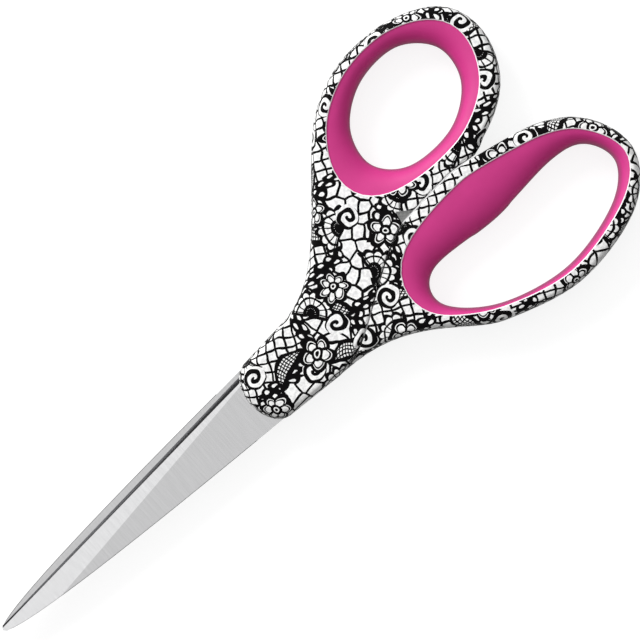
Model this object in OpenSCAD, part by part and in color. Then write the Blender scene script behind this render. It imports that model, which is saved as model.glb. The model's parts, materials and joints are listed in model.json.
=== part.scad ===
// Right-handed household scissors: two ground steel blades on a screwed pivot, each moulded into a
// loop handle with a soft grip around the finger hole. Modelled closed, lying flat, in millimetres.
// The working frame has the pivot axis at the origin, the handles towards +X, the thumb loop
// towards +Y and the plane where the blades meet at z = 0.

/* [Blades] */
// Distance from the pivot axis to the blade tips
blade_reach = 101; // [85:1:122]
// Thickness of each blade
blade_t = 1.8; // [1.4:0.1:2.2]
// Distance from the centre line to the spine, at the heel
spine_offset = 8.4; // [7:0.1:8.6]
// Distance from the centre line to the cutting edge, at the heel
edge_offset = 7.4; // [6:0.1:7.9]
// Distance from the centre line to the cutting edge, at the tip
tip_offset = 0.9; // [0.5:0.1:1.4]
// Slope of the main bevel, in degrees
bevel_angle = 11; // [8:0.5:13]
// Angle of the honed edge to the inner face, in degrees
edge_angle = 55; // [45:1:65]
// Depth of the hollow grind on the inner face, at its heel
hollow_depth = 0.25; // [0.1:0.05:0.4]
// Length of the tang inside the thumb handle
thumb_tang_l = 33; // [26:1:36]
// Length of the tang inside the finger handle
finger_tang_l = 25; // [20:1:27]
// Width of both tangs
tang_w = 9; // [7:0.5:10]

/* [Handles] */
// Thickness of the handles
handle_t = 11.5; // [10:0.5:14]
// Width of the tongue over each blade, at the pivot
tongue_w = 19.8; // [19:0.1:24]
// Distance from the pivot axis to the end of the tongue
tongue_l = 15; // [13:0.5:18]
// How far the rounded outer edges reach in from the outline
edge_run = 1.7; // [1:0.1:1.8]
// How far the rounded outer edges fall below the face
edge_drop = 3.2; // [2:0.1:3.8]
// Largest angle that the scissors open, in degrees
open_angle = 75; // [60:1:80]

/* [Thumb loop] */
// Centre of the thumb hole, along the scissors from the pivot
thumb_x = 65.8; // [62:0.2:72]
// Centre of the thumb hole, across the scissors from the pivot
thumb_y = 30; // [29:0.2:36]
// Length of the thumb hole
thumb_hole_l = 34; // [28:0.5:37]
// Width of the thumb hole
thumb_hole_w = 25.4; // [21:0.2:26]
// Tilt of the thumb hole, in degrees
thumb_tilt = 16; // [8:1:20]

/* [Finger loop] */
// Centre of the finger hole, along the scissors from the pivot
finger_x = 67.4; // [66:0.2:75]
// Centre of the finger hole, across the scissors from the pivot
finger_y = -17; // [-23:0.2:-16.6]
// Length of the finger hole
finger_hole_l = 57.6; // [48:0.2:59]
// Width of the finger hole
finger_hole_w = 22.2; // [18:0.2:23]

/* [Soft grips] */
// Thickness of the soft skin over the hard core
grip_skin = 1.7; // [1.2:0.1:2.4]
// Depth of the grip's edge below the face of the handle
grip_recess = 0.35; // [0.2:0.05:0.6]

/* [Pivot] */
// Radius of the nut's barrel, which the finger blade turns on
barrel_r = 3; // [2.6:0.1:3.6]
// Radius of the screw's shank
shank_r = 2; // [1.6:0.1:2.2]
// Radius of the screw's head
head_r = 4.5; // [3.7:0.05:5.4]
// Height of the screw's head
head_t = 1.7; // [1.4:0.1:2]
// Height of the nut's hexagonal flange
flange_t = 1.7; // [1.2:0.1:2]
// Width across the flats of the nut's flange
flange_af = 9; // [8:0.2:11]

/* [Clearances] */
// Gap between the inner faces of the blades
blade_gap = 0.1; // [0.06:0.02:0.2]
// Gap between the inner faces of the two handles
handle_gap = 0.6; // [0.4:0.1:1]
// Gap between the edge of one handle and the shoulder of the other, when closed
stop_gap = 0.35; // [0.3:0.05:0.6]
// Radial play of the finger blade on the barrel
pivot_play = 0.04; // [0.02:0.01:0.08]
// Radial play between pieces that are fixed to each other
seat_play = 0.02; // [0.01:0.01:0.04]
// Radial room around the screw's head in the finger handle
head_room = 0.9; // [0.6:0.1:1.2]

/* [Hidden] */
$fn = 72;

steel = [0.78, 0.79, 0.8];
shell_white = [0.93, 0.93, 0.93];
grip_pink = [0.84, 0.25, 0.55];
plated = [0.7, 0.7, 0.68];
past = 1;                        // how far a cutter runs past what it cuts
far = 150;                       // longer than any piece

half_t = handle_t / 2;
grip_half_t = half_t - grip_recess;
inner_z = blade_gap / 2;
outer_z = inner_z + blade_t;

// Curves

unit = function(v) v / norm(v);
turned = function(v, a) [v[0] * cos(a) - v[1] * sin(a), v[0] * sin(a) + v[1] * cos(a)];
ring_item = function(list, i) list[(i + len(list)) % len(list)];

// Smooth closed curve through rows of values, each row one stop round the curve
function closed_spline(rows, steps) = [
    for (i = [0 : len(rows) - 1], s = [0 : steps - 1])
        let (t = s / steps, a = ring_item(rows, i - 1), b = rows[i],
             c = ring_item(rows, i + 1), d = ring_item(rows, i + 2))
        b + (c - a) * t / 2 + (2 * a - 5 * b + 4 * c - d) * t ^ 2 / 2 + (3 * b - a - 3 * c + d) * t ^ 3 / 2
];

// Outward normals of a closed counter-clockwise curve
function normals(curve) = [
    for (i = [0 : len(curve) - 1])
        let (along = unit(ring_item(curve, i + 1) - ring_item(curve, i - 1)))
        [along[1], -along[0]]
];

// Curve from p, leaving along u, to q, arriving along v, without its two ends. Each pull is how far
// the curve holds to that direction
function bend(p, u, q, v, pulls, steps) = [
    for (s = [1 : steps - 1])
        let (t = s / steps, a = p + u * pulls[0], b = q - v * pulls[1])
        p * (1 - t) ^ 3 + a * 3 * t * (1 - t) ^ 2 + b * 3 * t ^ 2 * (1 - t) + q * t ^ 3
];

function spread(from, to, steps) = [for (s = [0 : steps]) from + (to - from) * s / steps];

// Loops: each row gives a stop on the hole's edge in half lengths and half widths, then the width of
// the soft grip and of the hard rim outside it, in millimetres

loop_steps = 8;
thumb_rows = [
    [1.005, 0.05, 6.8, 4], [0.675, 0.78, 4.7, 2.2], [-0.05, 1.015, 4.9, 2.5], [-0.72, 0.7, 6.5, 3.3],
    [-1.015, -0.02, 8.7, 4.9], [-0.715, -0.72, 4, 4.6], [0.07, -1.02, 3.4, 4.9], [0.75, -0.7, 4.9, 5.3]
];
finger_rows = [
    [0.995, 0, 3.4, 2.2], [0.9, 0.785, 3.7, 2.9], [0.58, 1.03, 7.4, 3.3], [-0.115, 0.9, 13.3, 2.9],
    [-0.84, 0.995, 9.2, 3.4], [-0.995, 0.285, 3.3, 5.3], [-0.61, -0.61, 1.3, 3.3], [0.05, -1.03, 1.7, 3.4],
    [0.695, -0.685, 2.1, 3.7]
];

thumb_spline = closed_spline(thumb_rows, loop_steps);
finger_spline = closed_spline(finger_rows, loop_steps);
thumb_hole = [for (p = thumb_spline)
    [thumb_x, thumb_y] + turned([p[0] * thumb_hole_l / 2, p[1] * thumb_hole_w / 2], thumb_tilt)];
finger_hole = [for (p = finger_spline)
    [finger_x + p[0] * finger_hole_l / 2, finger_y + p[1] * finger_hole_w / 2]];
thumb_normals = normals(thumb_hole);
finger_normals = normals(finger_hole);
thumb_grip_w = [for (p = thumb_spline) p[2]];
finger_grip_w = [for (p = finger_spline) p[2]];
function rim_curve(hole, outward, spline) =
    [for (i = [0 : len(hole) - 1]) hole[i] + outward[i] * (spline[i][2] + spline[i][3])];
thumb_rim = rim_curve(thumb_hole, thumb_normals, thumb_spline);
finger_rim = rim_curve(finger_hole, finger_normals, finger_spline);

// Outlines of the two handles: the tongue's end, a flank, the far side of the loop and a flank back

tongue_half_w = tongue_w / 2;
tongue_taper = 1;                // narrowing of each side towards the tongue's end
tongue_round = 6;                // length of the tongue's elliptical end
tongue_end_w = tongue_half_w - tongue_taper;
tongue_steps = 7;
tongue_square = 86;              // angle of the rounded end to either side of its tip
function tongue_point(a) = [tongue_round - tongue_l - tongue_round * cos(a), tongue_end_w * sin(a)];

// Flanks between the tongue and a loop: the tongue point, the loop's stop, and the pulls at both
flank_steps = 16;
thumb_lower = [[7, -tongue_half_w], 41, [14, 20]];
thumb_upper = [[3, tongue_half_w], 23, [18, 18]];
finger_lower = [[8.5, -tongue_half_w], 48, [22, 10]];
finger_upper = [[7, tongue_half_w], 29, [14, 14]];

// Points of a flank from the tongue to the loop. On the upper side it meets the loop from behind
function flank(rim, data, side) =
    let (stop = data[1], along = unit(ring_item(rim, stop + 1) - ring_item(rim, stop - 1)))
    concat([data[0]], bend(data[0], [1, 0], rim[stop], side * along, data[2], flank_steps));
function backwards(list) = [for (i = [len(list) - 1 : -1 : 0]) list[i]];
// Starts at the tongue's tip, so that points counted from the two ends of the list face each other
function handle_outline(rim, lower, upper) = concat(
    [for (a = spread(0, -tongue_square, tongue_steps)) tongue_point(a)],
    flank(rim, lower, 1),
    [for (i = [lower[1] : upper[1] + len(rim)]) rim[i % len(rim)]],
    backwards(flank(rim, upper, -1)),
    [for (i = [tongue_steps : -1 : 1]) tongue_point(tongue_square * i / tongue_steps)]
);

// Where the loops meet, the thumb loop's lower edge follows the finger loop's upper edge
meet_x = finger_rim[finger_upper[1]][0];
part_x = thumb_x + thumb_hole_w / 3;
part_ramp = 4.5;                 // length over which the two edges part
finger_top = concat(
    flank(finger_rim, finger_upper, -1),
    [for (i = [loop_steps : finger_upper[1]]) finger_rim[i]]
);
function meeting(p) =
    let (edge = lookup(p[0], finger_top) + stop_gap, share = max(0, min(1, (part_x - p[0]) / part_ramp)))
    [p[0], p[0] < meet_x ? min(p[1], edge) : p[1] + share * (edge - p[1])];
thumb_free = handle_outline(thumb_rim, thumb_lower, thumb_upper);
thumb_outline = [for (i = [0 : len(thumb_free) - 1])
    i < len(thumb_free) / 2 ? meeting(thumb_free[i]) : thumb_free[i]];
finger_outline = handle_outline(finger_rim, finger_lower, finger_upper);

// Placing: the middle of the closed scissors over the origin, their lowest face at z = 0

all_x = [for (p = concat(thumb_outline, finger_outline)) p[0]];
all_y = [for (p = concat(thumb_outline, finger_outline)) p[1]];
middle = [(max(all_x) - blade_reach) / 2, (max(all_y) + min(all_y)) / 2];
module placed() translate([-middle[0], -middle[1], half_t]) children();
// Turns a piece of the thumb half over, onto the finger half's side of the blade plane
module flipped() rotate([180, 0, 0]) children();

// Solids from rings of points: consecutive rings are joined by triangles

function band_faces(count, rings, closed) = [
    for (k = [0 : rings - (closed ? 1 : 2)], i = [0 : count - 1], half = [0, 1])
        let (a = k * count + i, b = k * count + (i + 1) % count,
             c = ((k + 1) % rings) * count + (i + 1) % count, d = ((k + 1) % rings) * count + i)
        half == 0 ? [a, c, b] : [a, d, c]
];

// Flat face over a ring: strips between points counted from its two ends
function cap_faces(count) = [
    for (i = [0 : floor(count / 2) - 1], half = [0, 1])
        let (b = i + 1, c = count - 1 - i)
        if (half == 0 ? b < c : i > 0) half == 0 ? [i, b, c] : [i, c, c + 1]
];

module capped_rings(rings) {
    count = len(rings[0]);
    top = (len(rings) - 1) * count;
    polyhedron(
        [for (r = rings, p = r) p],
        concat(band_faces(count, len(rings), false), cap_faces(count),
               [for (f = cap_faces(count)) [top + f[2], top + f[1], top + f[0]]])
    );
}

// Plate of the handle's full thickness with rounded edges, longer and softer over the tongue's end and
// nearly sharp along the seam, which runs between two points counted along the outline
tongue_run = 3.6;
seam_run = 0.5;
seam_drop = 0.7;
seam_ramp = 4;                   // points over which the seam's edge gets sharp
edge_steps = 3;
module rounded_plate(outline, seam) {
    outward = normals(outline);
    softness = [for (p = outline) max(0, min(1, (-p[0] - tongue_l / 2) / (tongue_l / 3)))];
    crispness = [for (i = [0 : len(outline) - 1])
        max(0, min(1, (i - seam[0]) / seam_ramp, (seam[1] - i) / seam_ramp))];
    run = [for (i = [0 : len(outline) - 1])
        edge_run + (tongue_run - edge_run) * softness[i] + (seam_run - edge_run) * crispness[i]];
    drop = [for (c = crispness) edge_drop + (seam_drop - edge_drop) * c];
    function ring(a, side) = [
        for (i = [0 : len(outline) - 1])
            let (p = outline[i] - outward[i] * run[i] * (1 - cos(a)))
            [p[0], p[1], side * (half_t - drop[i] * (1 - sin(a)))]
    ];
    capped_rings(concat([for (a = spread(90, 0, edge_steps)) ring(a, -1)],
                        [for (a = spread(0, 90, edge_steps)) ring(a, 1)]));
}

// Distance from the hole's edge and height of the hard core under the grip, bottom to top
core_steps = 6;
skin_share = 0.6;                // the skin's largest share of a narrow grip's width
function core_profile(w) = let (skin = min(grip_skin, skin_share * w))
    [for (a = spread(-90, 90, core_steps)) [w - (w - skin) * cos(a), (grip_half_t - skin) * sin(a)]];
// Same for the visible skin of the grip, top to bottom
skin_steps = 10;
function skin_profile(w) = [for (a = spread(90, -90, skin_steps)) [w - w * cos(a), grip_half_t * sin(a)]];

function on_loop(hole, outward, widths, k, profile) = [
    for (i = [0 : len(hole) - 1])
        let (q = profile(widths[i])[k], p = hole[i] + outward[i] * q[0])
        [p[0], p[1], q[1]]
];

// Everything inside the hard core of a loop: the hole and the room for the grip
module loop_room(hole, outward, widths) {
    wall = [for (i = [0 : len(hole) - 1]) hole[i] + outward[i] * widths[i]];
    core = function(w) core_profile(w);
    capped_rings(concat(
        [[for (p = wall) [p[0], p[1], -half_t - past]]],
        [for (k = [0 : core_steps]) on_loop(hole, outward, widths, k, core)],
        [[for (p = wall) [p[0], p[1], half_t + past]]]
    ));
}

// Soft grip: a skin over the core, as a closed band of C sections round the hole
module loop_grip(hole, outward, widths) {
    section = function(w) concat(skin_profile(w), core_profile(w));
    count = len(section(grip_skin));
    rings = [for (k = [0 : count - 1]) on_loop(hole, outward, widths, k, section)];
    polyhedron([for (r = rings, p = r) p], band_faces(len(hole), count, true));
}

// Blades

heel_x = tongue_l - 5;           // the ground edge ends under the tongue
heel_r = 8.2;                    // round heel of the blade about the pivot
spine_steps = 18;
spine_l = blade_reach - heel_x;
tip_w = 0.7;                     // how far the cutting edge stops short of the tip
edge_slope = atan((edge_offset - tip_offset) / (spine_l - tip_w));
bevel_start = 0.5;               // share of the blade where the bevel's edge crosses its middle
bevel_slope = 7.2;               // angle of the bevel's edge to the centre line
hone_room = 12;                  // size of the honing cutter around the edge
hollow_r = 60;                   // radius of the hollow grind
hollow_start = 0.12;             // share of the blade, from the tip, that stays flat inside
lock_r = 1.5;
lock_places = [0.55, 0.85];      // moulding locks, as shares of the tang's length

// Outline of the ground blade: a parabolic spine and a straight cutting edge
function blade_outline() = concat(
    [for (s = [0 : spine_steps]) let (t = s / spine_steps)
        [-blade_reach + spine_l * t ^ 2, -spine_offset * t]],
    [[0, -heel_r], [0, heel_r], [-heel_x, edge_offset], [-blade_reach + tip_w, tip_offset]]
);

module tang_outline(length, angle) rotate(angle) {
    translate([0, -tang_w / 2]) square([length - tang_w / 2, tang_w]);
    translate([length - tang_w / 2, 0]) circle(d = tang_w);
}

// Blade of the thumb half, before its pivot bore. Its inner face looks down
module blade(length, angle) {
    difference() {
        translate([0, 0, inner_z]) linear_extrude(blade_t) difference() {
            union() {
                polygon(blade_outline());
                circle(heel_r);
                tang_outline(length, angle);
            }
            for (place = lock_places) rotate(angle) translate([length * place, 0]) circle(lock_r);
        }
        main_bevel();
        honed_edge();
        hollow_grind();
    }
}

// Wide flat ground on the outer face, which reaches the spine near the tip
module main_bevel()
    translate([-blade_reach + spine_l * bevel_start, 0, outer_z]) rotate([0, 0, bevel_slope])
    rotate([-bevel_angle, 0, 0]) translate([-far, 0, 0])
        cube([far + spine_l * (1 - bevel_start), far, past + blade_t]);

module honed_edge()
    translate([-blade_reach + tip_w, tip_offset, inner_z]) rotate([0, 0, edge_slope])
    rotate([-edge_angle, 0, 0]) translate([-past, -hone_room, 0])
        cube([(spine_l - tip_w) / cos(edge_slope), 2 * hone_room, hone_room]);

// Shallow round hollow that deepens from near the tip to the ride at the heel
module hollow_grind() {
    length = spine_l * (1 - hollow_start) - (tongue_l - heel_x) - past;
    fall = atan(hollow_depth / length);
    translate([-blade_reach + spine_l * hollow_start, 0, inner_z]) rotate([0, -fall, 0])
        translate([0, 0, -hollow_r]) rotate([0, 90, 0]) cylinder(r = hollow_r, h = length, $fn = 180);
}

thumb_tang_a = 20;
finger_tang_a = 6;
module thumb_steel() blade(thumb_tang_l, thumb_tang_a);
module finger_steel() flipped() blade(finger_tang_l, finger_tang_a);
module pivot_bore(r) translate([0, 0, -far / 2]) cylinder(r = r, h = far);

module thumb_blade() color(steel) placed() difference() {
    thumb_steel();
    pivot_bore(barrel_r + seat_play);
}

module finger_blade() color(steel) placed() difference() {
    finger_steel();
    pivot_bore(barrel_r + pivot_play);
}

// Handles

// Plan of the space that one half leaves for the other half's neck and tongue, up to a shoulder that
// follows the other half's flank. The shoulder starts where the tongue still clears it wide open
open_margin = 4;                 // degrees that the shoulders leave beyond the largest angle
shoulder_x = (tongue_half_w + stop_gap) * tan((open_angle + open_margin) / 2);
module neck_plan(flank_points, side) {
    shoulder = [for (p = flank_points) if (p[0] > shoulder_x && p[0] < meet_x) p + [0, side * stop_gap]];
    last = len(shoulder) - 1;
    polygon(concat(
        shoulder,
        [[shoulder[last][0], -side * far], [-far, -side * far], [-far, side * far],
         [shoulder[0][0], side * far]]
    ));
}

// Small pocket in the thumb handle's lower edge, where the two loops meet
notch_depth = 4.4;
notch = [for (p = [[-21.2, -23], [-16.6, -22.6], [-16.8, -20.9], [-20.2, -18.4]]) [thumb_x, thumb_y] + p];
// Stretches of the two outlines that face each other, as points counted from the tongue's tip
thumb_seam = [tongue_steps + 3, tongue_steps + flank_steps + loop_steps];
finger_seam = [len(finger_outline) - tongue_steps - flank_steps - 2 * loop_steps,
               len(finger_outline) - tongue_steps - 3];

module thumb_handle() color(shell_white) placed() difference() {
    rounded_plate(thumb_outline, thumb_seam);
    translate([0, 0, handle_gap / 2 - far]) linear_extrude(far)
        neck_plan(flank(finger_rim, finger_upper, -1), 1);
    loop_room(thumb_hole, thumb_normals, thumb_grip_w);
    thumb_steel();
    translate([0, 0, outer_z - blade_t / 2])
        flange(flange_af + 2 * seat_play, flange_t + blade_t / 2 + seat_play);
    translate([0, 0, half_t - notch_depth]) linear_extrude(notch_depth + past) polygon(notch);
}

module finger_handle() color(shell_white) placed() difference() {
    rounded_plate(finger_outline, finger_seam);
    translate([0, 0, -handle_gap / 2]) linear_extrude(far)
        neck_plan(flank(thumb_rim, thumb_lower, 1), -1);
    loop_room(finger_hole, finger_normals, finger_grip_w);
    finger_steel();
    translate([0, 0, -half_t - past])
        cylinder(r = head_r + head_room, h = half_t + past - outer_z + blade_t / 2);
}

// Soft grips

module thumb_grip() color(grip_pink) placed() loop_grip(thumb_hole, thumb_normals, thumb_grip_w);
module finger_grip() color(grip_pink) placed() loop_grip(finger_hole, finger_normals, finger_grip_w);

// Pivot: a barrel nut moulded into the thumb half, a screw from the back and a dished washer

washer_t = 0.3;
washer_rise = 0.2;
washer_top = -outer_z - pivot_play;
washer_bottom = washer_top - washer_t - washer_rise;
barrel_bottom = -outer_z + pivot_play;
nut_floor = 0.7;                 // steel left above the blind hole
shank_top = outer_z + flange_t - 2 * nut_floor;
washer_hole_r = shank_r + 4 * seat_play;
slot_w = 1.2;
slot_depth = 0.9;
head_round = 0.8;

module flange(across_flats, height) cylinder(d = across_flats / cos(30), h = height, $fn = 6);

module pivot_nut() color(plated) placed() difference() {
    union() {
        translate([0, 0, barrel_bottom]) cylinder(r = barrel_r, h = outer_z - barrel_bottom + flange_t / 2);
        translate([0, 0, outer_z]) flange(flange_af, flange_t);
    }
    translate([0, 0, barrel_bottom - past])
        cylinder(r = shank_r + seat_play, h = outer_z + flange_t - nut_floor - barrel_bottom + past);
}

module pivot_screw() color(plated) placed() difference() {
    rotate_extrude() polygon(concat(
        [[0, washer_bottom - head_t]],
        [for (a = spread(-90, 0, 4)) [head_r, washer_bottom - head_t]
            + head_round * [cos(a) - 1, sin(a) + 1]],
        [[head_r, washer_bottom], [shank_r, washer_bottom],
         [shank_r, shank_top], [0, shank_top]]
    ));
    translate([-head_r - past, -slot_w / 2, washer_bottom - head_t - past])
        cube([2 * (head_r + past), slot_w, slot_depth + past]);
}

module spring_washer() color(plated) placed() rotate_extrude() polygon([
    [washer_hole_r, washer_bottom], [head_r, washer_bottom + washer_rise],
    [head_r, washer_top], [washer_hole_r, washer_top - washer_rise]
]);

thumb_blade();
finger_blade();
thumb_handle();
finger_handle();
thumb_grip();
finger_grip();
pivot_nut();
pivot_screw();
spring_washer();
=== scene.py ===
"""Closed scissors with lace-printed loop handles and soft pink grips, on a pale floor, seen from above."""

import json
import math

import bmesh
import bpy
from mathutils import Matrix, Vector


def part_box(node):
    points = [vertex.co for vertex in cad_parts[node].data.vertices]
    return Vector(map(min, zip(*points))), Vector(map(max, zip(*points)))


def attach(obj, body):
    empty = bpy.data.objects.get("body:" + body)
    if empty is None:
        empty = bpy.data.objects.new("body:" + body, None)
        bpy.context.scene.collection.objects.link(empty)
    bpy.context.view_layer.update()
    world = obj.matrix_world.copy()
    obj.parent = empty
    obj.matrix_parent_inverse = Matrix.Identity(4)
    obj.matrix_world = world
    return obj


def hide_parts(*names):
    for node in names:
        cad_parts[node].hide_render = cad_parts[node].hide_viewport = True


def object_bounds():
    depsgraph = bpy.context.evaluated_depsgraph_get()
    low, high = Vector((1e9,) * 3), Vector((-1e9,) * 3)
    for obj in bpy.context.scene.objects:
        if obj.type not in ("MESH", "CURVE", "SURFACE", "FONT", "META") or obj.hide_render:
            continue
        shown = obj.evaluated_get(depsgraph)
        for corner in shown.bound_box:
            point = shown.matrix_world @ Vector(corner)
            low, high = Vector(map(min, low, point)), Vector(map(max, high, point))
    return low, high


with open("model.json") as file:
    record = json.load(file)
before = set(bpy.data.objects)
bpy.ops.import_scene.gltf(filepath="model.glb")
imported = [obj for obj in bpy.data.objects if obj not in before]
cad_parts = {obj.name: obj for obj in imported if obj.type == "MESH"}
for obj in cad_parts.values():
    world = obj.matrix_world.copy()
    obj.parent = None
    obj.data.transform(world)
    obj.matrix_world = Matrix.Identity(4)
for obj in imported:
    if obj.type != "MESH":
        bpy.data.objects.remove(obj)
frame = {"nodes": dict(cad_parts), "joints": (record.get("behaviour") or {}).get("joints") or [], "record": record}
cad_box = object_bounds()
MM = 0.001
PIVOT = Vector(frame["joints"][0]["pos_m"])

# Small tools


def linear(code):
    """An sRGB hex colour as linear values."""
    parts = [int(code[i:i + 2], 16) / 255 for i in (1, 3, 5)]
    return [*(c / 12.92 if c <= 0.04045 else ((c + 0.055) / 1.055) ** 2.4 for c in parts), 1]


def begin(owner):
    """Empties the node tree of a material or of the world and makes it the one in work."""
    global tree
    owner.use_nodes = True
    tree = owner.node_tree
    tree.nodes.clear()
    return owner


def node(kind, *inputs, out=None, **settings):
    """Adds a node to the tree in work and returns its first output, or the one named. Inputs come in the
    order of the node's sockets, or by name with a capital letter; the other settings are the node's own."""
    made = tree.nodes.new("ShaderNode" + kind)
    for name, value in settings.items():
        if name[0].islower():
            setattr(made, name, value)
    sockets = [s for s in made.inputs if s.enabled]
    named = [(made.inputs[k.replace("_", " ")], v) for k, v in settings.items() if k[0].isupper()]
    for socket, value in [*zip(sockets, inputs), *named]:
        if isinstance(value, bpy.types.NodeSocket):
            tree.links.new(value, socket)
        else:
            socket.default_value = value
    first = next((s for s in made.outputs if s.enabled), None)
    return made.outputs[out] if out else first


def all_of(parts, operation="MAXIMUM"):
    """Several inks or masks laid over each other, or with MINIMUM the part that they share."""
    total = parts[0]
    for part in parts[1:]:
        total = node("Math", total, part, operation=operation)
    return total


def millimetres():
    """Place on the piece, in millimetres."""
    return node("VectorMath", node("TexCoord", out="Object"), 1 / MM, operation="SCALE")


def flatness():
    """1 where the surface lies flat, facing up or down, and 0 where it stands on edge."""
    facing = node("SeparateXYZ", node("TexCoord", out="Normal"), out="Z")
    return node("Math", facing, operation="ABSOLUTE")


# Lace print on the plastic, in millimetres

HALF_T = cad_box[1].z / MM / 2                                     # half the thickness of the handles
POCKET = (PIVOT.x / MM + 46.8, PIVOT.y / MM + 9.4, 2 * HALF_T)     # where the loops part, on the front
POCKET_R = 5.4


def print_plane():
    """The print's own flat coordinates: the face seen from above, unrolled over the edges down to mid-height,
    with the small wander of a hand-drawn line. With them comes the share of the film that is there: none in
    the pocket and on the faces between the two handles."""
    wander_size, wander_by = 4.5, 1.5
    flat_enough, film_depth, pocket_depth = 0.7, 2, 0.5
    place = millimetres()
    height = node("SeparateXYZ", place, out="Z")
    from_middle = node("Math", node("Math", height, HALF_T, operation="SUBTRACT"), operation="ABSOLUTE")
    depth = node("Math", HALF_T, from_middle, operation="SUBTRACT")
    sideways = node("VectorMath", node("TexCoord", out="Normal"), (1, 1, 0), operation="MULTIPLY")
    rolled = node("VectorMath", sideways, depth, operation="SCALE")
    flat = node("VectorMath", place, (1, 1, 0), rolled, operation="MULTIPLY_ADD")
    wander = node("TexNoise", flat, Scale=1 / wander_size, Detail=1, Roughness=0.5, noise_dimensions="2D",
                  out="Color")
    wander = node("VectorMath", wander, (0.5, 0.5, 0.5), operation="SUBTRACT")
    wander = node("VectorMath", wander, (wander_by, wander_by, 0), operation="MULTIPLY")
    between = all_of([
        node("Math", flatness(), flat_enough, operation="GREATER_THAN"),
        node("Math", depth, film_depth, operation="GREATER_THAN"),
    ], "MINIMUM")
    to_pocket = node("VectorMath", place, POCKET, operation="DISTANCE", out="Value")
    pocket = all_of([
        node("Math", to_pocket, POCKET_R, operation="LESS_THAN"),
        node("Math", depth, pocket_depth, operation="GREATER_THAN"),
    ], "MINIMUM")
    film = node("Math", 1, all_of([between, pocket]), operation="SUBTRACT")
    return node("VectorMath", flat, wander, operation="ADD"), film


def over(ink, cover, motif):
    """The print so far, with a motif's own ink in place of it wherever the motif covers."""
    kept = node("Math", ink, node("Math", 1, cover, operation="SUBTRACT"), operation="MULTIPLY")
    return node("Math", kept, motif, operation="MAXIMUM")


def crossed(ways, apart, half):
    """Straight threads across each of the given coordinates, with half their width given."""
    threads = []
    for way in ways:
        to_thread = node("Math", way, apart / 2, operation="PINGPONG")
        threads.append(node("Math", to_thread, half, operation="LESS_THAN"))
    return all_of(threads)


def scattered(plane, spacing, wander, shift, turn):
    """Local coordinates around scattered motif centres, each turned its own way: radius, angle, x and y, and
    the motif's own chance."""
    place = node("Mapping", plane, shift, (0, 0, math.radians(turn)))
    centre = node("TexVoronoi", place, Scale=1 / spacing, Randomness=wander, voronoi_dimensions="2D",
                  out="Position")
    red = node("SeparateColor", centre.node.outputs["Color"], out="Red")
    own_turn = node("Math", red, 2 * math.pi, operation="MULTIPLY")
    local = node("VectorMath", place, centre, operation="SUBTRACT")
    local = node("VectorRotate", local, (0, 0, 0), own_turn, rotation_type="Z_AXIS")
    across = node("SeparateXYZ", local, out="X")
    up = across.node.outputs["Y"]
    radius = node("VectorMath", local, operation="LENGTH", out="Value")
    angle = node("Math", up, across, operation="ARCTAN2")
    return radius, angle, across, up, red.node.outputs["Green"]


def lobes(angle, count):
    """Rises from 0 between the lobes of a rosette to 1 at their tops, with the given count of them in half a
    turn."""
    wave = node("Math", node("Math", angle, count, operation="MULTIPLY"), operation="COSINE")
    return node("Math", wave, operation="ABSOLUTE")


def nets(plane):
    """Two thread grounds, a crackled one and a diamond one, on the two sides of wavy ribbons edged with
    scallops."""
    cell, cell_thread = 3.6, 0.33
    crackle = node("TexVoronoi", plane, Scale=1 / cell, Randomness=1, voronoi_dimensions="2D",
                   feature="DISTANCE_TO_EDGE")
    crackle = node("Math", crackle, cell_thread / cell, operation="LESS_THAN")
    diamond, diamond_thread, diamond_turn = 2.6, 0.3, 28
    ways = []
    for turn in (diamond_turn, diamond_turn + 90):
        ways.append(node("SeparateXYZ", node("Mapping", plane, (0, 0, 0), (0, 0, math.radians(turn)))))
    diamonds = crossed(ways, diamond, diamond_thread)
    ribbon_start, ribbon_turn = (9, 6, 0), -34
    ribbon_length, ribbon_rise, ribbon_apart, ribbon_half = 27, 4, 17, 0.7
    along = node("SeparateXYZ", node("Mapping", plane, ribbon_start, (0, 0, math.radians(ribbon_turn))))
    side = along.node.outputs["Y"]
    phase = node("Math", along, 2 * math.pi / ribbon_length, operation="MULTIPLY")
    offset = node("Math", node("Math", phase, operation="SINE"), ribbon_rise, side, operation="MULTIPLY_ADD")
    from_ribbon = node("Math", offset, ribbon_apart / 2, operation="PINGPONG")
    zone = node("Math", node("Math", offset, math.pi / ribbon_apart, operation="MULTIPLY"), operation="SINE")
    zone = node("Math", zone, 0, operation="GREATER_THAN")
    ground = node("Mix", zone, crackle, diamonds)
    bead_apart, bead_r, bead_out, bead_line = 2.3, 0.95, 1.1, 0.36
    step = node("Math", along, bead_apart / 2, operation="PINGPONG")
    outwards = node("Math", from_ribbon, bead_out, operation="SUBTRACT")
    to_bead = node("VectorMath", node("CombineXYZ", step, outwards), operation="LENGTH", out="Value")
    bead_cover = node("Math", to_bead, bead_r + bead_line, operation="LESS_THAN")
    scallops = node("Math", to_bead, bead_r, bead_line, operation="COMPARE")
    ribbon = node("Math", from_ribbon, ribbon_half, operation="LESS_THAN")
    return all_of([over(ground, bead_cover, scallops), ribbon])


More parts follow.
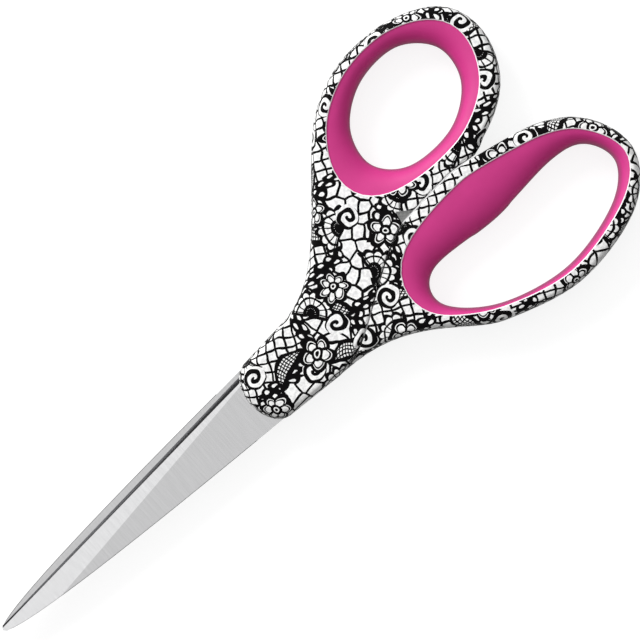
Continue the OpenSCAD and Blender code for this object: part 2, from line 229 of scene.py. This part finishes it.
def leaves(plane):
    """Bent leaves filled with a fine mesh, as pairs of arcs with a heavy outline."""
    arc_r, arc_off, bend, outline = 8.1, 5.9, 0.07, 0.5
    mesh_apart, mesh_thread = 0.84, 0.17
    _, _, across, up, _ = scattered(plane, spacing=16, wander=0.4, shift=(4, 11, 0), turn=31)
    squared = node("Math", across, across, operation="MULTIPLY")
    bent = node("Math", squared, bend, up, operation="MULTIPLY_ADD")
    height = node("Math", node("Math", bent, operation="ABSOLUTE"), arc_off, operation="ADD")
    edge = node("VectorMath", node("CombineXYZ", across, height), operation="LENGTH", out="Value")
    inside = node("Math", edge, arc_r, operation="LESS_THAN")
    filling = all_of([crossed((across, bent), mesh_apart, mesh_thread), inside], "MINIMUM")
    ink = all_of([node("Math", edge, arc_r, outline, operation="COMPARE"), filling])
    return node("Math", edge, arc_r + outline, operation="LESS_THAN"), ink


def fans(plane):
    """Half-round shells with spokes and a scalloped double edge."""
    fan_r, scallop, spoke_count, spoke = 4.9, 0.9, 7, 1.05
    line_in, line_out = 0.55, 0.5             # the outline's width on the two sides of its middle
    inner_r, inner_line = 3.9, 0.3
    hub_r, hub_line = 1.7, 0.5
    foot, foot_line, foot_end = -0.7, 0.45, -1
    radius, angle, across, _, _ = scattered(plane, spacing=18.5, wander=0.35, shift=(-6, 3, 0), turn=12)
    tops = lobes(angle, spoke_count)
    edge = node("Math", tops, scallop, fan_r, operation="MULTIPLY_ADD")
    spokes = all_of([
        node("Math", node("Math", radius, tops, operation="MULTIPLY"), spoke, operation="LESS_THAN"),
        node("Math", radius, edge, operation="LESS_THAN"),
    ], "MINIMUM")
    ink = all_of([
        node("Math", radius, edge, line_in, operation="COMPARE"),
        node("Math", radius, inner_r, inner_line, operation="COMPARE"),
        node("Math", radius, hub_r, hub_line, operation="COMPARE"),
        spokes,
        node("Math", across, foot, foot_line, operation="COMPARE"),
    ])
    cover = all_of([
        node("Math", radius, node("Math", edge, line_out, operation="ADD"), operation="LESS_THAN"),
        node("Math", across, foot_end, operation="GREATER_THAN"),
    ], "MINIMUM")
    return cover, all_of([ink, cover], "MINIMUM")


def curls(plane):
    """Tight spiral tendrils."""
    pitch, reach, line = 2.1, 3.1, 0.55
    radius, angle, _, _, _ = scattered(plane, spacing=14.5, wander=0.5, shift=(7, -2, 0), turn=55)
    turned = node("Math", angle, -pitch / (2 * math.pi), radius, operation="MULTIPLY_ADD")
    to_line = node("Math", turned, pitch / 2, operation="PINGPONG")
    spiral = node("Math", to_line, line, operation="LESS_THAN")
    cover = node("Math", radius, reach, operation="LESS_THAN")
    return cover, all_of([spiral, cover], "MINIMUM")


def rosettes(plane):
    """Flowers of five to seven round petals: a heavy outline, a thin one inside it, ribs between the petals
    and an eye in a ring."""
    fewest, kinds = 5, 3
    flower_r, petal_rise, rib = 2.9, 1.5, 0.8
    line_in, line_out = 0.6, 0.55             # the outline's width on the two sides of its middle
    thin_inside, thin_line = 1.1, 0.25
    ring_r, ring_line, eye_r = 1.15, 0.35, 0.45
    radius, angle, _, _, chance = scattered(plane, spacing=17, wander=0.35, shift=(1.5, -4, 0), turn=-20)
    more = node("Math", node("Math", chance, kinds, operation="MULTIPLY"), operation="FLOOR")
    petals = node("Math", more, fewest, operation="ADD")
    tops = lobes(angle, node("Math", petals, 0.5, operation="MULTIPLY"))
    edge = node("Math", tops, petal_rise, flower_r, operation="MULTIPLY_ADD")
    thin = node("Math", edge, thin_inside, operation="SUBTRACT")
    ribs = all_of([
        node("Math", node("Math", radius, tops, operation="MULTIPLY"), rib, operation="LESS_THAN"),
        node("Math", radius, ring_r, operation="GREATER_THAN"),
    ], "MINIMUM")
    ink = all_of([
        node("Math", radius, edge, line_in, operation="COMPARE"),
        node("Math", radius, thin, thin_line, operation="COMPARE"),
        node("Math", radius, ring_r, ring_line, operation="COMPARE"),
        node("Math", radius, eye_r, operation="LESS_THAN"),
        ribs,
    ])
    cover = node("Math", radius, node("Math", edge, line_out, operation="ADD"), operation="LESS_THAN")
    return cover, all_of([ink, cover], "MINIMUM")


# Materials, with their patterns in millimetres


def lace_plastic():
    """Injection-moulded ABS with a printed film over it: bright satin white, black lines with crisp edges and
    a fine grain, which is drawn coarser than the real one so that it shows."""
    material = begin(bpy.data.materials.new("satin_abs_lace_print"))
    mottle_size, grain_size, grain_depth = 0.9, 0.35, 0.02
    plane, film = print_plane()
    ink = nets(plane)
    for motif in (leaves, fans, curls, rosettes):
        ink = over(ink, *motif(plane))
    ink = node("Math", ink, film, operation="MULTIPLY")
    place = millimetres()
    mottle = node("TexNoise", place, Scale=1 / mottle_size, Detail=2, Roughness=0.6)
    mottle = node("MapRange", mottle, 0.42, 0.62)
    film_white = node("Mix", mottle, linear("#f7f7f6"), linear("#e0e0e0"), data_type="RGBA")
    colour = node("Mix", ink, film_white, linear("#070607"), data_type="RGBA")
    rough = node("MapRange", ink, 0, 1, 0.36, 0.46)
    grain = node("TexNoise", place, Scale=1 / grain_size, Detail=2, Roughness=0.6)
    bump = node("Bump", Strength=0.12, Distance=grain_depth * MM, Height=grain)
    shader = node("BsdfPrincipled", Base_Color=colour, Roughness=rough, IOR=1.52, Specular_IOR_Level=0.05,
                  Normal=bump)
    node("OutputMaterial", shader)
    return material


def lip_plastic():
    """The same ABS left unprinted where the grip's edge is sealed: a clean white bead with a soft gloss."""
    material = begin(bpy.data.materials.new("satin_abs_plain"))
    cloud_size = 6
    cloud = node("TexNoise", millimetres(), Scale=1 / cloud_size, Detail=2, Roughness=0.5)
    colour = node("Mix", cloud, linear("#fbf9fa"), linear("#efe9ec"), data_type="RGBA")
    node("OutputMaterial", node("BsdfPrincipled", Base_Color=colour, Roughness=0.34, IOR=1.52))
    return material


def grip_elastomer():
    """Thermoplastic elastomer moulded over the core in a spark-eroded tool: deep pink with a soft sheen and a
    fine even grain, which is drawn coarser than the real one so that it shows. On the steep wall of the hole
    the pink is painted deeper, as painted shade."""
    material = begin(bpy.data.materials.new("soft_touch_elastomer"))
    cloud_size, grain_size, grain_depth = 9, 0.5, 0.06
    steep, gentle = 0.15, 0.6                 # flatness where the wall's pink is full and where it ends
    place = millimetres()
    cloud = node("TexNoise", place, Scale=1 / cloud_size, Detail=3, Roughness=0.55)
    clouded = node("MapRange", cloud, 0.3, 0.7)
    pink = node("Mix", clouded, linear("#cc1a81"), linear("#c4177b"), data_type="RGBA")
    # painted shade: the pink is made deeper where the wall of the hole stands steep
    wall = node("MapRange", flatness(), steep, gentle, 1, 0)
    colour = node("Mix", wall, pink, linear("#8a0f55"), data_type="RGBA")
    rough = node("MapRange", cloud, 0.3, 0.7, 0.62, 0.7)
    grain = node("TexNoise", place, Scale=1 / grain_size, Detail=2, Roughness=0.6)
    bump = node("Bump", Strength=0.25, Distance=grain_depth * MM, Height=grain)
    shader = node("BsdfPrincipled", Base_Color=colour, Roughness=rough, IOR=1.48, Specular_IOR_Level=0.9,
                  Normal=bump)
    node("OutputMaterial", shader)
    return material


def blade_steel():
    """Stainless steel, ground across the blade and then satin finished: soft grey mirror with fine lines
    across it, which are drawn coarser than the real ones so that they show. The honed edge and the broken
    edges of the spine are ground coarser, and their near-black colour beside the flats is painted shade."""
    material = begin(bpy.data.materials.new("ground_stainless_steel"))
    line_width, line_length, line_depth = 0.35, 9, 0.01
    cut_slope, cut_spread = 0.58, 0.14        # how flat the honed edge and the broken edges lie
    stretch = (1 / line_width, 1 / line_length, 1)
    stretched = node("VectorMath", millimetres(), stretch, operation="MULTIPLY")
    lines = node("TexNoise", stretched, Scale=1, Detail=3, Roughness=0.6)
    lined = node("MapRange", lines, 0.3, 0.7)
    satin = node("Mix", lined, linear("#dbdbdc"), linear("#e4e4e5"), data_type="RGBA")
    # painted shade: the honed edge and the spine's broken edges are coloured near black, standing for the shadow
    # line along them
    painted_edge_shade = node("Math", flatness(), cut_slope, cut_spread, operation="COMPARE")
    colour = node("Mix", painted_edge_shade, satin, linear("#1f1f21"), data_type="RGBA")
    rough = node("MapRange", lines, 0.3, 0.7, 0.15, 0.23)
    bump = node("Bump", Strength=0.15, Distance=line_depth * MM, Height=lines)
    shader = node("BsdfPrincipled", Base_Color=colour, Metallic=1, Roughness=rough, Normal=bump)
    node("OutputMaterial", shader)
    return material


def nickel_plate():
    """Turned steel under bright nickel: warm grey mirror with small dull stains."""
    material = begin(bpy.data.materials.new("nickel_plated_steel"))
    stain_size = 1.6
    stain = node("TexNoise", millimetres(), Scale=1 / stain_size, Detail=3, Roughness=0.6)
    stained = node("MapRange", stain, 0.35, 0.7)
    colour = node("Mix", stained, linear("#c9c6bf"), linear("#b7b3aa"), data_type="RGBA")
    rough = node("MapRange", stain, 0.3, 0.7, 0.2, 0.34)
    node("OutputMaterial", node("BsdfPrincipled", Base_Color=colour, Metallic=1, Roughness=rough))
    return material


# Pieces


def placed(name, data):
    """Puts a mesh, a lamp or a camera into the scene as an object."""
    thing = bpy.data.objects.new(name, data)
    bpy.context.scene.collection.objects.link(thing)
    return thing


def welded(name):
    """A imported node's shape, its loose triangles joined at their corners."""
    shape = bmesh.new()
    shape.from_mesh(frame["nodes"][name].data)
    bmesh.ops.remove_doubles(shape, verts=shape.verts, dist=0.001 * MM)
    return shape


def finished(shape, name, node_name, material, sharp):
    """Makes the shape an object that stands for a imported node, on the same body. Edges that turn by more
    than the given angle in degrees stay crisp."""
    for edge in shape.edges:
        edge.smooth = edge.calc_face_angle(math.pi) < math.radians(sharp)
    mesh = bpy.data.meshes.new(name)
    shape.to_mesh(mesh)
    shape.free()
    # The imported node's stored shading would hide the choice of edges
    for stored in [a for a in mesh.attributes if a.name == "custom_normal"]:
        mesh.attributes.remove(stored)
    for face in mesh.polygons:
        face.use_smooth = True
    mesh.materials.append(material)
    piece = placed(name, mesh)
    record = frame["record"]
    body = next(b for b, nodes in record["behaviour"]["bodies"].items() if node_name in nodes)
    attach(piece, body)
    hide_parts(node_name)
    return piece


def handle_shell(side, material):
    """A handle with its flat faces shaded evenly."""
    piece = finished(welded(side + "_handle"), side + "_handle_shell", side + "_handle", material, sharp=40)
    piece.modifiers.new("even_faces", "WEIGHTED_NORMAL").keep_sharp = True


def grip_skin(side, material):
    """A grip with its facets rounded off, up to the edges along its seams."""
    seam_turn = math.radians(40)
    shape = welded(side + "_grip")
    bmesh.ops.join_triangles(shape, faces=shape.faces, angle_face_threshold=math.pi,
                             angle_shape_threshold=math.pi)
    crease = shape.edges.layers.float.new("crease_edge")
    for edge in shape.edges:
        edge[crease] = float(edge.calc_face_angle(0) > seam_turn)
    piece = finished(shape, side + "_grip_skin", side + "_grip", material, sharp=50)
    smooth = piece.modifiers.new("smooth", "SUBSURF")
    smooth.levels = smooth.render_levels = 1


def grip_lip(side, material):
    """White bead along the seam between a grip and its handle, on the front and on the back."""
    bead_r, raised, same_level = 0.27 * MM, 0.06 * MM, 0.01 * MM
    low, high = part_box(side + "_grip")
    shape = welded(side + "_grip")
    curve = bpy.data.curves.new(side + "_grip_lip", "CURVE")
    curve.dimensions = "3D"
    curve.bevel_depth = bead_r
    curve.bevel_resolution = 2
    for level, bead_level in ((high.z, high.z + raised), (low.z, low.z - raised)):
        rim = [v for v in shape.verts if abs(v.co.z - level) < same_level]
        ends = {v: [e.other_vert(v) for e in v.link_edges if e.other_vert(v) in rim] for v in rim}
        loop = [rim[0], ends[rim[0]][0]]
        while len(loop) < len(rim):
            loop.append(next(v for v in ends[loop[-1]] if v is not loop[-2]))
        spline = curve.splines.new("POLY")
        spline.points.add(len(loop) - 1)
        spline.use_cyclic_u = True
        for point, vert in zip(spline.points, loop):
            point.co = (*vert.co.xy, bead_level, 1)
    shape.free()
    sweep = bpy.data.objects.new("sweep", curve)
    mesh = bpy.data.meshes.new_from_object(sweep)
    bpy.data.objects.remove(sweep)
    mesh.shade_smooth()
    mesh.materials.append(material)
    piece = placed(side + "_grip_lip", mesh)
    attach(piece, side + "_half")


def blade(side, material):
    """A blade with the burr taken off both edges of its spine, from the handle to just short of the point."""
    from_point, from_handle, burr = 1.5 * MM, 2.5 * MM, 0.12 * MM
    wall, flat = 0.1, 0.9                     # a wall's normal rises by less, a flat's by more
    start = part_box(side + "_blade")[0].x + from_point
    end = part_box(side + "_handle")[0].x - from_handle
    shape = welded(side + "_blade")
    bmesh.ops.dissolve_limit(shape, angle_limit=math.radians(0.05), verts=shape.verts, edges=shape.edges)
    spine = []
    for edge in shape.edges:
        if edge.is_manifold and all(start < v.co.x < end for v in edge.verts):
            least, most = sorted(abs(f.normal.z) for f in edge.link_faces)
            if least < wall and most > flat:
                spine.append(edge)
    bmesh.ops.bevel(shape, geom=spine, offset=burr, offset_type="OFFSET", affect="EDGES", segments=1,
                    profile=0.5, material=-1, clamp_overlap=False)
    finished(shape, side + "_blade_ground", side + "_blade", material, sharp=3)


printed, plain, soft, steel = lace_plastic(), lip_plastic(), grip_elastomer(), blade_steel()
for half in ("thumb", "finger"):
    handle_shell(half, printed)
    grip_skin(half, soft)
    grip_lip(half, plain)
    blade(half, steel)
nickel = nickel_plate()
for fitting in ("pivot_nut", "pivot_screw", "spring_washer"):
    frame["nodes"][fitting].data.materials.clear()
    frame["nodes"][fitting].data.materials.append(nickel)

# Floor, light and camera

WHITE = (1, 1, 1, 1)


def studio_floor():
    """Matt white paper: white to the camera and to reflections, and dimmer where the scissors keep the light
    off it."""
    half_width, below = 2.5, 0.02 * MM
    unseen_glow, seen_glow = 0.12, 0.84
    material = begin(bpy.data.materials.new("white_paper"))
    rays = node("LightPath").node.outputs
    seen = all_of([rays["Is Camera Ray"], rays["Is Glossy Ray"], rays["Is Transmission Ray"]])
    paper = node("BsdfDiffuse", linear("#898989"))
    glow = node("Emission", WHITE, node("MapRange", seen, 0, 1, unseen_glow, seen_glow))
    node("OutputMaterial", node("AddShader", paper, glow))
    shape = bmesh.new()
    bmesh.ops.create_grid(shape, x_segments=1, y_segments=1, size=half_width)
    bmesh.ops.translate(shape, verts=shape.verts, vec=(0, 0, -below))
    mesh = bpy.data.meshes.new("floor")
    shape.to_mesh(mesh)
    shape.free()
    mesh.materials.append(material)
    placed("floor", mesh)


def softbox(name, place, size, power):
    """A square lamp that faces the scissors."""
    lamp = bpy.data.lights.new(name, "AREA")
    lamp.size, lamp.energy = size, power
    holder = placed(name, lamp)
    holder.location = place
    holder.rotation_euler = (-Vector(place)).to_track_quat("-Z", "Y").to_euler()


def surroundings():
    """Plain room, full white to the camera: bright overhead and on the key's side and dim on the other, but
    at least mid grey in metal."""
    to_key, dark_from, brightest, metal_least = (0, 0.8, 0.6), -0.25, 1.12, 0.4
    bpy.context.scene.world = begin(bpy.data.worlds.new("room"))
    rays = node("LightPath").node.outputs
    way = node("TexCoord", out="Generated")
    bright_side = node("VectorMath", way, to_key, operation="DOT_PRODUCT", out="Value")
    shine = node("MapRange", bright_side, dark_from, 1, 0, brightest)
    least = node("Math", rays["Is Glossy Ray"], metal_least, operation="MULTIPLY")
    node("OutputWorld", node("Background", WHITE, all_of([shine, least, rays["Is Camera Ray"]])))


studio_floor()
softbox("key", place=(-0.05, 1.1, 0.75), size=0.6, power=14.5)
softbox("fill", place=(0.35, -0.8, 0.7), size=1, power=1)
surroundings()

PHOTO_WIDTH = 163.97 * MM                      # what the photograph's frame spans on the scissors
PHOTO_LEVEL = 8 * MM                           # the height at which it spans that
PHOTO_MIDDLE = Vector((12.7, 4.09)) * MM       # the middle of the frame, from the pivot
PHOTO_TURN = math.radians(-42.3)
DISTANCE = 1.6
lens = bpy.data.cameras.new("camera")
lens.lens = lens.sensor_width * DISTANCE / PHOTO_WIDTH
camera = placed("camera", lens)
camera.location = (*(PIVOT.xy + PHOTO_MIDDLE), PHOTO_LEVEL + DISTANCE)
camera.rotation_euler = (0, 0, PHOTO_TURN)
bpy.context.scene.camera = camera
bpy.context.scene.view_settings.view_transform = "Standard"
